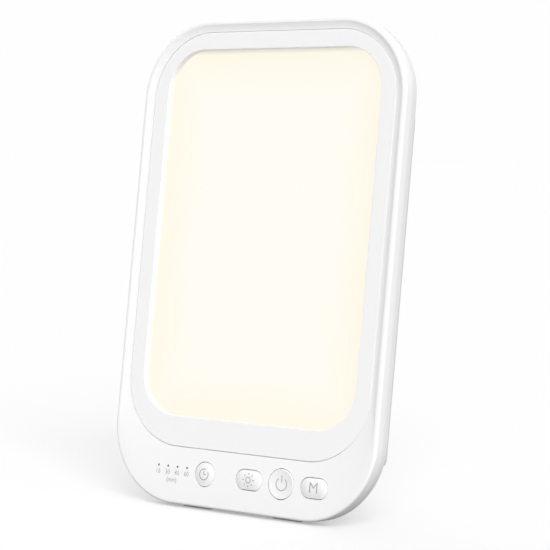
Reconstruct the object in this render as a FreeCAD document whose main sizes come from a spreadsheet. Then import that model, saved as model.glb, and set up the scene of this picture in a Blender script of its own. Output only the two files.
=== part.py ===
import FreeCAD, Part
import math
import os
import re
import Sketcher

# A slim desk light panel for bright light therapy. It leans back on a fold-out leg.
# Every piece is drawn in the lamp's own upright frame: X to the right, Y from the front face
# to the back, Z up the panel from its bottom edge. One placement then leans the lamp back,
# stands it on Z = 0 and centres its footprint on the origin.

DIMENSIONS = {
    # Stance
    "lean": 8.36,
    "lift": 1.7,
    "leg_angle": 16.8,
    # Outline of the panel
    "face_width": 150,
    "face_height": 229.5,
    "face_radius": 37.5,
    "front_depth": 5.2,
    "body_depth": 10.2,
    "full_depth": 20,
    "wall": 2,
    "edge_round": 1,
    # Raised rim and the dish inside it
    "rim_width": 2.5,
    "dish_depth": 1,
    "dish_middle_depth": 0.6,
    "dish_width": 3.3,
    "dish_middle_width": 1.2,
    "panel_steep_width": 8,
    "panel_height": 27,
    # Bezel, window and light stack
    "bezel_gap": 0.3,
    "bezel_thickness": 2,
    "bezel_width": 8.1,
    "bezel_bottom_width": 14.2,
    "bezel_round": 0.2,
    "window_radius": 20,
    "diffuser_margin": 3.9,
    "diffuser_thickness": 1.5,
    "stack_gap": 0.1,
    "guide_thickness": 2.4,
    "guide_inset": 3,
    "reflector_thickness": 0.25,
    "plate_depth": 7.4,
    "plate_thickness": 1,
    "plate_rise": 7,
    "led_board_thickness": 0.8,
    "led_board_length": 124,
    "led_size": 1.1,
    "led_pitch": 10,
    "led_count": 12,
    # Fit between loose parts
    "slack": 0.4,
    "running_gap": 0.05,
    # Controls
    "button_height": 15.7,
    "button_face": 0.15,
    "button_gap": 0.3,
    "button_flange": 0.8,
    "flange_thickness": 0.4,
    "button_round": 0.3,
    "timer_place": -19,
    "timer_radius": 5.6,
    "brightness_place": 6.75,
    "power_place": 25,
    "power_radius": 7.1,
    "mode_place": 43.3,
    "pill_half_width": 7.5,
    "pill_half_height": 4.8,
    "pill_radius": 4.6,
    "panel_back": 2.6,
    "board_front": 5.4,
    "board_thickness": 1.2,
    "board_half_width": 50,
    "board_low": 4.6,
    "board_high": 25,
    "board_radius": 10,
    "switch_size": 6,
    "switch_height": 1.6,
    "plunger_radius": 1.05,
    "plunger_length": 1.4,
    "plunger_gap": 0.15,
    "dot_radius": 0.5,
    "dot_height": 17.3,
    "dot_first": -46.7,
    "dot_pitch": 5.67,
    "dot_count": 4,
    # Screws and the posts they sit in
    "post_radius": 2.1,
    "screw_radius": 0.9,
    "thread_gap": 0.05,
    "head_radius": 1.8,
    "head_height": 1.2,
    "side_post_inset": 5.6,
    "low_post": 60,
    "high_post_inset": 45.5,
    "board_post_height": 7.4,
    "board_post_outer": 38,
    "board_post_middle": -5.6,
    "board_post_right": 34.3,
    # Back cover
    "cover_inset": 0.3,
    "cover_edge": 1.4,
    "cover_edge_step": 0.42,
    "cover_floor": 1.8,
    "box_side_inset": 6.3,
    "box_draft": 1.5,
    "box_low": 27,
    "box_top_inset": 41.5,
    "box_radius": 4,
    "box_edge": 1.8,
    "case_post_inset": 20.7,
    "case_post_rise": 31,
    "case_post_drop": 16,
    "case_post_radius": 3.4,
    "case_screw_sink": 3,
    "vent_width": 2,
    "vent_length": 26,
    "vent_pitch": 6,
    "vent_count": 6,
    "vent_drop": 76,
    # Leg, its recess and its pin
    "recess_half_width": 24,
    "recess_floor": 12.7,
    "recess_wall": 3.6,
    "hinge_drop": 38,
    "recess_headroom": 8,
    "hinge_depth": 16.2,
    "pin_radius": 1.5,
    "pin_overlap": 3.2,
    "barrel_radius": 3.2,
    "leg_half_width": 23.3,
    "leg_thickness": 3.6,
    "leg_rib": 3,
    "leg_web": 1.8,
    "heel_height": 6.5,
    "heel_back": 1.5,
    "washer_thickness": 0.5,
    "boot_wall": 1.6,
    "boot_height": 9,
    "boot_half_width": 20,
    # Rubber feet under the panel
    "foot_place": 26,
    "foot_half_width": 8,
    "foot_front": 5.8,
    "foot_back": 8.6,
    "foot_sink": 0.8,
    # Power parts in the rear box
    "driver_inner_gap": 3.4,
    "driver_outer_gap": 3.7,
    "driver_post_gap_low": 18,
    "driver_post_gap_high": 16,
    "driver_depth": 14.6,
    "driver_thickness": 1.2,
    "capacitor_radius": 6,
    "capacitor_height": 4.5,
    "capacitor_rise": 14,
    "coil_radius": 3.2,
    "coil_height": 5,
    "coil_reach": 9,
    "coil_rise": 30,
    "chip_length": 10,
    "chip_height": 1.6,
    "chip_drop": 38,
    "plug_width": 10,
    "plug_shift": 2,
    "plug_length": 6,
    "plug_height": 4,
    "plug_drop": 12,
    "inlet_place": -47,
    "inlet_size": 7.8,
    "inlet_length": 13,
    "inlet_nose": 3.8,
    "inlet_bore": 2.9,
    "inlet_bore_depth": 9,
    "inlet_pin": 0.95,
    "ribbon_width": 7,
    "ribbon_thickness": 0.5,
    "ribbon_rise": 6,
    "ribbon_floor_gap": 1.2,
    "ribbon_lead": 2,
    "ribbon_top_gap": 4,
    "wire_radius": 0.6,
    "wire_clearance": 2,
    "wire_inset": 6,
    "left_wire_lift": 1,
    "left_wire_drop": 20,
    "left_wire_reach": 14,
}

ASSEMBLY = "placement(vector(0; {shift}; dims.lift); rotation(vector(1; 0; 0); -dims.lean))"
LEG_ASSEMBLY = "placement(vector(0; {depth}; {height}); rotation(vector(1; 0; 0); {turn}))"

doc = FreeCAD.newDocument("light_therapy_lamp")
sheet = doc.addObject("Spreadsheet::Sheet", "dims")
for row, (alias, value) in enumerate(DIMENSIONS.items(), start=1):
    sheet.set(f"A{row}", str(value))
    sheet.setAlias(f"A{row}", alias)
doc.recompute()

nodes = {}


def cells(text):
    """Turns the plain names in an expression into references to the sheet."""
    return re.sub(r"(?<![\w.])([a-z][a-z_]+)(?!\w*\()\b", r"dims.\1", text)


def number(text):
    """The value of an expression of sheet names, as a float."""
    return float(sheet.evalExpression(cells(text)))


def bind(item, path, text):
    item.setExpression(path, cells(text))


# Places that several pieces share, each written once.

HALF_WIDTH = "face_width / 2"
BEZEL_HALF = f"{HALF_WIDTH} - rim_width - dish_width"
BEZEL_HIGH = "face_height - rim_width - dish_width"
BEZEL_RADIUS = "face_radius - rim_width - dish_width"
BEZEL_BACK = "dish_depth + bezel_thickness"
WINDOW_HALF = f"{BEZEL_HALF} - bezel_width"
WINDOW_LOW = "panel_height + bezel_bottom_width"
WINDOW_HIGH = f"{BEZEL_HIGH} - bezel_width"
DIFFUSER_HALF = f"{WINDOW_HALF} + diffuser_margin"
DIFFUSER_LOW = f"{WINDOW_LOW} - diffuser_margin"
DIFFUSER_HIGH = f"{WINDOW_HIGH} + diffuser_margin"
DIFFUSER_RADIUS = "window_radius + diffuser_margin"
DIFFUSER_BACK = f"{BEZEL_BACK} + diffuser_thickness"
GUIDE_BACK = f"{DIFFUSER_BACK} + stack_gap + guide_thickness"
PLATE_BACK = "plate_depth + plate_thickness"
COVER_INNER = f"{HALF_WIDTH} - wall - cover_inset"
BOX_WALL_BACK = "full_depth - wall"
CHEEK = "recess_half_width + recess_wall"
SIDE_POST = f"{HALF_WIDTH} - side_post_inset"
HIGH_POST = "face_height - high_post_inset"
MIDDLE_POST = f"(low_post + {HIGH_POST}) / 2"
LED_MIDDLE = f"({DIFFUSER_LOW} + {DIFFUSER_HIGH}) / 2"
BOX_HALF = f"{HALF_WIDTH} - box_side_inset"
BOX_HIGH = "face_height - box_top_inset"
BOX_REACH = f"{BOX_HALF} - wall"
CASE_POST = f"{BOX_HALF} - case_post_inset"
CASE_POST_LOW = "box_low + case_post_rise"
CASE_POST_HIGH = f"{BOX_HIGH} - case_post_drop"
HINGE_HEIGHT = f"({BOX_HIGH} - hinge_drop)"
RECESS_TOP = f"{HINGE_HEIGHT} + recess_headroom"
DRIVER_LEFT = f"{CHEEK} + driver_inner_gap"
DRIVER_RIGHT = f"{BOX_REACH} - driver_outer_gap"
DRIVER_MIDDLE = f"({DRIVER_LEFT} + {DRIVER_RIGHT}) / 2"
DRIVER_LOW = f"{CASE_POST_LOW} + driver_post_gap_low"
DRIVER_HIGH = f"{CASE_POST_HIGH} - driver_post_gap_high"
WIRE_PLACE = f"{DIFFUSER_HALF} + slack + wire_radius"
INLET_DEPTH = f"{BOX_WALL_BACK} - inlet_size / 2"
BOARD_BACK = "board_front + board_thickness"
RIBBON_MIDDLE = f"({CHEEK} + {CASE_POST} - case_post_radius) / 2"
FOOT_LINE = "sin(lean) / cos(lean)"
HINGE_RISE = f"lift + {HINGE_HEIGHT} * cos(lean) - hinge_depth * sin(lean)"
HINGE_REACH = f"{HINGE_HEIGHT} * sin(lean) + hinge_depth * cos(lean)"
LEG_TILT = "(leg_angle - lean)"
LEG_LENGTH = f"({HINGE_RISE}) / cos({LEG_TILT})"
BOOT_HALF_DEPTH = "(leg_thickness / 2 + boot_wall)"
FRONT_REACH = "edge_round * (sin(lean) + cos(lean) - 1)"
REAR_REACH = (
    f"({HINGE_REACH}) + {BOOT_HALF_DEPTH} * cos({LEG_TILT})"
    f" + (({LEG_LENGTH}) + {BOOT_HALF_DEPTH} * sin({LEG_TILT}) / cos({LEG_TILT})) * sin({LEG_TILT})"
)
SHIFT = f"(0 - ({FRONT_REACH} + {REAR_REACH}) / 2)"


def place(item, label, expression=None):
    """Names a finished piece, leans it back with the lamp and lists it for export."""
    text = expression or ASSEMBLY.replace("{shift}", cells(SHIFT))
    item.setExpression("Placement", text)
    item.Label = label
    nodes[label] = item
    return item


def leg_placement():
    text = LEG_ASSEMBLY.replace("{depth}", cells(f"({SHIFT}) + {HINGE_REACH}"))
    text = text.replace("{height}", cells(HINGE_RISE))
    return text.replace("{turn}", cells(LEG_TILT))


class Outline:
    """A constrained sketch outline whose sizes come from the sheet."""

    def __init__(self, sketch):
        self.sketch = sketch

    def hold(self, kind, *where, size):
        value = number(size)
        index = self.sketch.addConstraint(Sketcher.Constraint(kind, *where, value))
        bind(self.sketch, f"Constraints[{index}]", size)

    def circle(self, across, up, radius):
        centre = FreeCAD.Vector(number(across), number(up), 0)
        ring = self.sketch.addGeometry(
            Part.Circle(centre, FreeCAD.Vector(0, 0, 1), number(radius))
        )
        self.hold("DistanceX", -1, 1, ring, 3, size=across)
        self.hold("DistanceY", -1, 1, ring, 3, size=up)
        self.hold("Radius", ring, size=radius)

    def rounded(self, left, right, low, high, radius):
        """A rectangle with four equal tangent corner arcs."""
        x0, x1 = number(left), number(right)
        z0, z1 = number(low), number(high)
        r = number(radius)
        quarter = math.tau / 4
        vector = FreeCAD.Vector
        add = self.sketch.addGeometry
        lines = [
            add(Part.LineSegment(vector(x0 + r, z0, 0), vector(x1 - r, z0, 0))),
            add(Part.LineSegment(vector(x1, z0 + r, 0), vector(x1, z1 - r, 0))),
            add(Part.LineSegment(vector(x1 - r, z1, 0), vector(x0 + r, z1, 0))),
            add(Part.LineSegment(vector(x0, z1 - r, 0), vector(x0, z0 + r, 0))),
        ]
        centres = [(x1 - r, z0 + r, 3), (x1 - r, z1 - r, 0), (x0 + r, z1 - r, 1), (x0 + r, z0 + r, 2)]
        arcs = []
        for across, up, turn in centres:
            ring = Part.Circle(vector(across, up, 0), vector(0, 0, 1), r)
            arcs.append(add(Part.ArcOfCircle(ring, turn * quarter, (turn + 1) * quarter)))
        join = self.sketch.addConstraint
        for index in range(4):
            following = lines[(index + 1) % 4]
            join(Sketcher.Constraint("Tangent", lines[index], 2, arcs[index], 1))
            join(Sketcher.Constraint("Tangent", arcs[index], 2, following, 1))
        for index in range(3):
            join(Sketcher.Constraint("Equal", arcs[index], arcs[index + 1]))
        for index in (0, 2):
            join(Sketcher.Constraint("Horizontal", lines[index]))
            join(Sketcher.Constraint("Vertical", lines[index + 1]))
        self.hold("Radius", arcs[0], size=radius)
        self.hold("DistanceX", -1, 1, lines[3], 1, size=left)
        self.hold("DistanceX", -1, 1, lines[1], 1, size=right)
        self.hold("DistanceY", -1, 1, lines[0], 1, size=low)
        self.hold("DistanceY", -1, 1, lines[2], 1, size=high)

    def centred(self, half, low, high, radius):
        self.rounded(f"0 - ({half})", half, low, high, radius)

    def polygon(self, points):
        """Straight sides through points given as (across, up) expressions."""
        spots = [FreeCAD.Vector(number(across), number(up), 0) for across, up in points]
        sides = []
        for index, spot in enumerate(spots):
            following = spots[(index + 1) % len(spots)]
            sides.append(self.sketch.addGeometry(Part.LineSegment(spot, following)))
        for index, side in enumerate(sides):
            following = sides[(index + 1) % len(sides)]
            self.sketch.addConstraint(Sketcher.Constraint("Coincident", side, 2, following, 1))
        for side, (across, up) in zip(sides, points):
            self.hold("DistanceX", -1, 1, side, 1, size=across)
            self.hold("DistanceY", -1, 1, side, 1, size=up)


class Piece:
    """A body built from outlines on its own origin planes."""

    def __init__(self, label):
        self.body = doc.addObject("PartDesign::Body", label)
        self.label = label
        self.count = 0

    def name(self, word):
        self.count += 1
        return f"{self.label}_{word}_{self.count}"

    def sketch(self, role, offset, draw):
        item = self.body.newObject("Sketcher::SketchObject", self.name("outline"))
        plane = next(part for part in self.body.Origin.OriginFeatures if part.Role == role)
        item.AttachmentSupport = [(plane, "")]
        item.MapMode = "FlatFace"
        bind(item, "AttachmentOffset.Base.z", offset)
        draw(Outline(item))
        return item

    def front(self, depth, draw):
        """An outline seen from the front, at a depth behind the front plane."""
        return self.sketch("XZ_Plane", f"0 - ({depth})", draw)

    def extrude(self, kind, start, end, draw):
        profile = self.front(start, draw)
        feature = self.body.newObject(f"PartDesign::{kind}", self.name(kind.lower()))
        feature.Profile = profile
        feature.Reversed = kind == "Pad"
        bind(feature, "Length", f"({end}) - ({start})")
        doc.recompute()
        return feature

    def pad(self, start, end, draw):
        return self.extrude("Pad", start, end, draw)

    def pocket(self, start, end, draw):
        before = self.body.Shape.Volume
        feature = self.extrude("Pocket", start, end, draw)
        if not self.body.Shape.Volume < before:
            raise ValueError(f"{feature.Name} cuts nothing")
        return feature

    def loft(self, kind, sections):
        profiles = [self.front(depth, draw) for depth, draw in sections]
        feature = self.body.newObject(f"PartDesign::{kind}Loft", self.name("loft"))
        feature.Profile = profiles[0]
        feature.Sections = profiles[1:]
        feature.Ruled = True
        doc.recompute()
        return feature

    def across(self, kind, width, draw, role="YZ_Plane", offset="0"):
        """A profile seen from the side, made even to both sides of its plane."""
        profile = self.sketch(role, offset, draw)
        feature = self.body.newObject(f"PartDesign::{kind}", self.name(kind.lower()))
        feature.Profile = profile
        feature.SideType = "Symmetric"
        bind(feature, "Length", width)
        doc.recompute()
        return feature

    def soften(self, radius, chosen):
        """Rounds the edges of the tip that the test picks out."""
        base = self.body.Tip
        names = [
            f"Edge{index}"
            for index, edge in enumerate(base.Shape.Edges, start=1)
            if chosen(edge)
        ]
        if not names:
            raise ValueError(f"{self.label} has no edge to round")
        feature = self.body.newObject("PartDesign::Fillet", self.name("fillet"))
        feature.Base = (base, names)
        bind(feature, "Radius", radius)
        doc.recompute()
        return feature

    def done(self, expression=None):
        return place(self.body, self.label, expression)


def lies_at_depth(depth):
    """Picks edges that lie wholly in the plane at a depth behind the front."""
    level = number(depth)
    return lambda edge: all(abs(vertex.Y - level) < 1e-4 for vertex in edge.Vertexes)


def solid_feature(label, shape, expression=None):
    item = doc.addObject("Part::Feature", label)
    item.Shape = shape
    return place(item, label, expression)


def rod(across, up, start, end, radius):
    """A round bar from the front towards the back, as a plain shape."""
    base = FreeCAD.Vector(number(across), number(start), number(up))
    return Part.makeCylinder(
        number(radius), number(f"({end}) - ({start})"), base, FreeCAD.Vector(0, 1, 0)
    )


def block(left, right, start, end, low, high):
    corner = FreeCAD.Vector(number(left), number(start), number(low))
    return Part.makeBox(
        number(f"({right}) - ({left})"),
        number(f"({end}) - ({start})"),
        number(f"({high}) - ({low})"),
        corner,
    )


# Screw places, each as (across, up).

SIDE_POSTS = [
    (side, up)
    for side in (SIDE_POST, f"0 - ({SIDE_POST})")
    for up in ("low_post", MIDDLE_POST, HIGH_POST)
]
BOARD_POSTS = [
    ("0 - board_post_outer", "board_post_height"),
    ("board_post_middle", "board_post_height"),
    ("board_post_right", "board_post_height"),
]
CASE_POSTS = [
    (side, up)
    for side in (CASE_POST, f"0 - ({CASE_POST})")
    for up in (CASE_POST_LOW, CASE_POST_HIGH)
]
BUTTONS = {
    "timer": ("timer_place", "timer_radius", None),
    "brightness": ("brightness_place", None, "pill"),
    "power": ("power_place", "power_radius", None),
    "mode": ("mode_place", None, "pill"),
}
DOTS = [f"dot_first + {index} * dot_pitch" for index in range(int(number("dot_count")))]


def button_outline(name, grow):
    """The outline of one button, grown evenly by a margin."""
    across, radius, pill = BUTTONS[name]

    def draw(outline):
        if pill:
            outline.rounded(
                f"{across} - pill_half_width - {grow}",
                f"{across} + pill_half_width + {grow}",
                f"button_height - pill_half_height - {grow}",
                f"button_height + pill_half_height + {grow}",
                f"pill_radius + {grow}",
            )
        else:
            outline.circle(across, "button_height", f"{radius} + {grow}")

    return draw


def circles(places, radius):
    def draw(outline):
        for across, up in places:
            outline.circle(across, up, radius)

    return draw


def make_front_housing():
    """Rim, control panel and the ledge that holds the bezel and the diffuser."""
    piece = Piece("front_housing")
    piece.pad("0", "front_depth", lambda o: o.centred(HALF_WIDTH, "0", "face_height", "face_radius"))
    piece.soften("edge_round", lies_at_depth("0"))

    def ring(inset, low):
        return lambda o: o.centred(
            f"{HALF_WIDTH} - {inset}", low, f"face_height - {inset}", f"face_radius - {inset}"
        )

    slope = ring("(rim_width + dish_middle_width)", "panel_height - panel_steep_width")
    piece.loft("Subtractive", [
        ("0", ring("rim_width", "rim_width")),
        ("dish_middle_depth", slope),
        ("dish_depth", ring("(rim_width + dish_width)", "panel_height")),
    ])
    piece.pocket("0", BEZEL_BACK, lambda o: o.centred(
        f"{BEZEL_HALF} + bezel_gap", "panel_height - bezel_gap",
        f"{BEZEL_HIGH} + bezel_gap", f"{BEZEL_RADIUS} + bezel_gap"))
    piece.pocket("0", "front_depth", lambda o: o.centred(
        f"{DIFFUSER_HALF} + slack", f"{DIFFUSER_LOW} - slack",
        f"{DIFFUSER_HIGH} + slack", f"{DIFFUSER_RADIUS} + slack"))
    piece.pocket(DIFFUSER_BACK, "front_depth", lambda o: o.centred(
        f"{HALF_WIDTH} - wall", "wall", "face_height - wall", "face_radius - wall"))
    piece.pocket("panel_back", "front_depth", lambda o: o.centred(
        "mode_place + pill_half_width + button_flange + slack", "wall + slack",
        "panel_height - 2 * slack", "board_radius"))
    for name in BUTTONS:
        piece.pocket("0", "front_depth", button_outline(name, "button_gap"))
    rod_places = [(dot, "dot_height") for dot in DOTS]
    piece.pocket("0", "front_depth", circles(rod_places, "dot_radius + running_gap"))
    piece.pad(DIFFUSER_BACK, "plate_depth", circles(SIDE_POSTS, "post_radius"))
    piece.pad("panel_back", "board_front", circles(BOARD_POSTS, "post_radius"))
    piece.pocket(DIFFUSER_BACK, "plate_depth", circles(SIDE_POSTS, "screw_radius + thread_gap"))
    piece.pocket("panel_back", "board_front", circles(BOARD_POSTS, "screw_radius + thread_gap"))
    piece.done()


def make_bezel():
    """The flat frame round the lit window."""
    piece = Piece("bezel_frame")
    piece.pad("dish_depth", BEZEL_BACK, lambda o: o.centred(
        BEZEL_HALF, "panel_height", BEZEL_HIGH, BEZEL_RADIUS))
    piece.pocket("dish_depth", BEZEL_BACK, lambda o: o.centred(
        WINDOW_HALF, WINDOW_LOW, WINDOW_HIGH, "window_radius"))
    piece.soften("bezel_round", lies_at_depth("dish_depth"))
    piece.done()


def sheet_piece(label, start, end, half, low, high, radius):
    piece = Piece(label)
    piece.pad(start, end, lambda o: o.centred(half, low, high, radius))
    return piece


def make_light_stack():
    """Diffuser, edge-lit guide, reflector and the metal plate behind them."""
    sheet_piece("diffuser_panel", BEZEL_BACK, DIFFUSER_BACK,
                DIFFUSER_HALF, DIFFUSER_LOW, DIFFUSER_HIGH, DIFFUSER_RADIUS).done()
    inset = {
        "half": f"{DIFFUSER_HALF} - guide_inset",
        "low": f"{DIFFUSER_LOW} + guide_inset",
        "high": f"{DIFFUSER_HIGH} - guide_inset",
        "radius": f"{DIFFUSER_RADIUS} - guide_inset",
    }
    sheet_piece("light_guide", f"{DIFFUSER_BACK} + stack_gap", GUIDE_BACK, **inset).done()
    sheet_piece("reflector_sheet", GUIDE_BACK, f"{GUIDE_BACK} + reflector_thickness", **inset).done()
    plate = sheet_piece("chassis_plate", "plate_depth", PLATE_BACK,
                        f"{COVER_INNER} - slack", "panel_height + plate_rise",
                        "face_height - wall - cover_inset - slack",
                        "face_radius - wall - cover_inset - slack")
    plate.pocket("plate_depth", PLATE_BACK, circles(SIDE_POSTS, "screw_radius + thread_gap"))
    plate.pocket("plate_depth", PLATE_BACK, circles(CASE_POSTS, "screw_radius + thread_gap"))
    plate.pocket("plate_depth", PLATE_BACK, circles(
        [(WIRE_PLACE, LED_MIDDLE), (f"0 - ({WIRE_PLACE})", LED_MIDDLE)], "2 * wire_radius"))
    plate.done()


def make_led_strip(label, side):
    """A narrow board along one edge of the light guide, with its row of lamps."""
    guide_edge = number(f"{DIFFUSER_HALF} - guide_inset")
    lamp = number("led_size")
    board = number("led_board_thickness")
    low = number(f"{LED_MIDDLE} - led_board_length / 2")
    start = number(f"{DIFFUSER_BACK} + stack_gap")
    gap = number("stack_gap")
    tall = number(f"plate_depth - ({DIFFUSER_BACK} + stack_gap)")

    def slab(near, width, bottom, height, front, depth):
        left = near if side > 0 else -near - width
        return Part.makeBox(width, depth, height, FreeCAD.Vector(left, front, bottom))

    solids = [slab(guide_edge + gap + lamp, board, low, number("led_board_length"), start, tall)]
    pitch = number("led_pitch")
    count = int(number("led_count"))
    first = number(LED_MIDDLE) - pitch * (count - 1) / 2
    for index in range(count):
        bottom = first + index * pitch - lamp
        solids.append(slab(guide_edge + gap, lamp, bottom, 2 * lamp, start, 2 * lamp))
    solid_feature(label, Part.makeCompound(solids))


def make_buttons():
    """Four caps held behind the panel by a flange, and the switch plungers they press."""
    flange_start = "panel_back + running_gap"
    flange_end = "panel_back + running_gap + flange_thickness"
    for name in BUTTONS:
        cap = Piece(f"{name}_button")
        cap.pad("button_face", flange_end, button_outline(name, "0"))
        cap.soften("button_round", lies_at_depth("button_face"))
        cap.pad(flange_start, flange_end, button_outline(name, "button_flange"))
        cap.done()
        plunger = Piece(f"{name}_switch_plunger")
        plunger.pad(flange_end, f"{flange_end} + plunger_length",
                    circles([(BUTTONS[name][0], "button_height")], "plunger_radius"))
        plunger.done()


def make_control_board():
    """The board behind the control panel, its switches and its indicator rods."""
    board = Piece("control_board")
    board.pad("board_front", BOARD_BACK, lambda o: o.centred(
        "board_half_width", "board_low", "board_high", "board_radius"))
    board.pocket("board_front", BOARD_BACK, circles(BOARD_POSTS, "screw_radius + thread_gap"))
    board.done()
    half = "switch_size / 2"
    bodies = []
    for across, _, _ in BUTTONS.values():
        case = block(f"{across} - {half}", f"{across} + {half}",
                     "board_front - switch_height", "board_front",
                     f"button_height - {half}", f"button_height + {half}")
        well = rod(across, "button_height", "board_front - switch_height",
                   "board_front - stack_gap", "plunger_radius + plunger_gap")
        bodies.append(case.cut(well))
    solid_feature("tact_switches", Part.makeCompound(bodies))
    pipes = [rod(dot, "dot_height", "dish_middle_depth", "board_front", "dot_radius") for dot in DOTS]
    solid_feature("indicator_light_rods", Part.makeCompound(pipes))


def screw(across, up, tip, seat):
    """A pan-head screw driven from the back: shank from its tip to its seat, then the head."""
    shank = rod(across, up, tip, seat, "screw_radius")
    head = rod(across, up, seat, f"{seat} + head_height", "head_radius")
    return shank.fuse(head).removeSplitter()


def make_screws():
    clear = "2 * thread_gap"
    solid_feature("chassis_screws", Part.makeCompound(
        [screw(x, z, f"{DIFFUSER_BACK} + {clear}", PLATE_BACK) for x, z in SIDE_POSTS]))
    solid_feature("board_screws", Part.makeCompound(
        [screw(x, z, f"panel_back + {clear}", BOARD_BACK) for x, z in BOARD_POSTS]))
    solid_feature("case_screws", Part.makeCompound(
        [screw(x, z, "plate_depth", "full_depth - case_screw_sink") for x, z in CASE_POSTS]))


def make_back_cover():
    """The rear half: a thin tapering skirt, a deeper box and the leg's recess."""
    piece = Piece("back_cover")

    def skirt(inset):
        return lambda o: o.centred(
            f"{HALF_WIDTH} - ({inset})", inset,
            f"face_height - ({inset})", f"face_radius - ({inset})")

    piece.loft("Additive", [
        ("front_depth", skirt("0")),
        ("body_depth - cover_edge", skirt("cover_inset")),
        ("body_depth - cover_edge_step", skirt("cover_inset + cover_edge_step")),
        ("body_depth", skirt("cover_inset + cover_edge")),
    ])
    root = "body_depth - cover_floor"
    piece.loft("Additive", [
        (root, lambda o: o.centred(
            f"{BOX_HALF} + box_draft", "box_low - box_draft",
            f"{BOX_HIGH} + box_draft", "box_radius + box_draft")),
        ("full_depth", lambda o: o.centred(BOX_HALF, "box_low", BOX_HIGH, "box_radius")),
    ])
    piece.soften("box_edge", lies_at_depth("full_depth"))
    piece.pocket("front_depth", root, lambda o: o.centred(
        COVER_INNER, "wall + cover_inset",
        "face_height - wall - cover_inset", "face_radius - wall - cover_inset"))
    low = "box_low + wall"
    high = f"{BOX_HIGH} - wall"
    ceiling = f"{RECESS_TOP} + recess_wall"
    piece.pocket(root, BOX_WALL_BACK, lambda o: o.rounded(CHEEK, BOX_REACH, low, high, "wall"))
    piece.pocket(root, BOX_WALL_BACK, lambda o: o.rounded(
        f"0 - ({BOX_REACH})", f"0 - ({CHEEK})", low, high, "wall"))
    piece.pocket(root, BOX_WALL_BACK, lambda o: o.centred(BOX_REACH, ceiling, high, "wall"))
    piece.pocket(root, "recess_floor - wall", lambda o: o.centred(
        "recess_half_width", low, RECESS_TOP, "wall"))
    piece.pocket("recess_floor", "full_depth", lambda o: o.polygon([
        ("0 - recess_half_width", "0"), ("recess_half_width", "0"),
        ("recess_half_width", RECESS_TOP), ("0 - recess_half_width", RECESS_TOP)]))
    piece.pad(PLATE_BACK, "full_depth - wall / 2", circles(CASE_POSTS, "case_post_radius"))
    piece.pocket(PLATE_BACK, "full_depth", circles(CASE_POSTS, "screw_radius + thread_gap"))
    piece.pocket("full_depth - case_screw_sink", "full_depth", circles(CASE_POSTS, "head_radius + slack"))
    piece.pocket(root, f"{root} + head_height + thread_gap", circles(SIDE_POSTS, "head_radius + slack"))
    piece.across("Pocket", "2 * (recess_half_width + pin_overlap)",
                 lambda o: o.circle("hinge_depth", HINGE_HEIGHT, "pin_radius"))

    def vents(outline):
        for side in (-1, 1):
            middle = f"{side} * ({CASE_POST})"
            for index in range(int(number("vent_count"))):
                bottom = f"{BOX_HIGH} - vent_drop + {index} * vent_pitch"
                outline.rounded(f"{middle} - vent_length / 2", f"{middle} + vent_length / 2",
                                bottom, f"{bottom} + vent_width", "vent_width / 2 - running_gap")

    piece.pocket(BOX_WALL_BACK, "full_depth", vents)
    inlet = piece.sketch("XY_Plane", "box_low - box_draft", lambda o: o.circle(
        "inlet_place", INLET_DEPTH, "inlet_nose + running_gap"))
    hole = piece.body.newObject("PartDesign::Pocket", piece.name("pocket"))
    hole.Profile = inlet
    hole.Reversed = True
    bind(hole, "Length", "wall + 2 * box_draft")
    doc.recompute()

    def feet(outline):
        for side in (-1, 1):
            middle = f"{side} * foot_place"
            outline.polygon([
                (f"{middle} - foot_half_width", "0 - wall"),
                (f"{middle} + foot_half_width", "0 - wall"),
                (f"{middle} + foot_half_width", "foot_sink"),
                (f"{middle} - foot_half_width", "foot_sink")])

    piece.pocket("foot_front", "foot_back", feet)
    piece.done()


def make_feet():
    """Two rubber wedges whose soles lie flat on the table under the leaning panel."""

    def sole(depth):
        return f"{depth} * {FOOT_LINE} - lift / cos(lean)"

    profile = [
        ("foot_front", sole("foot_front")), ("foot_back", sole("foot_back")),
        ("foot_back", "foot_sink"), ("foot_front", "foot_sink"),
    ]
    solids = []
    for side in (-1, 1):
        left = number(f"{side} * foot_place - foot_half_width")
        corners = [FreeCAD.Vector(left, number(depth), number(up)) for depth, up in profile]
        face = Part.Face(Part.makePolygon(corners + corners[:1]))
        solids.append(face.extrude(FreeCAD.Vector(number("2 * foot_half_width"), 0, 0)))
    solid_feature("foot_pads", Part.makeCompound(solids))


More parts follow.
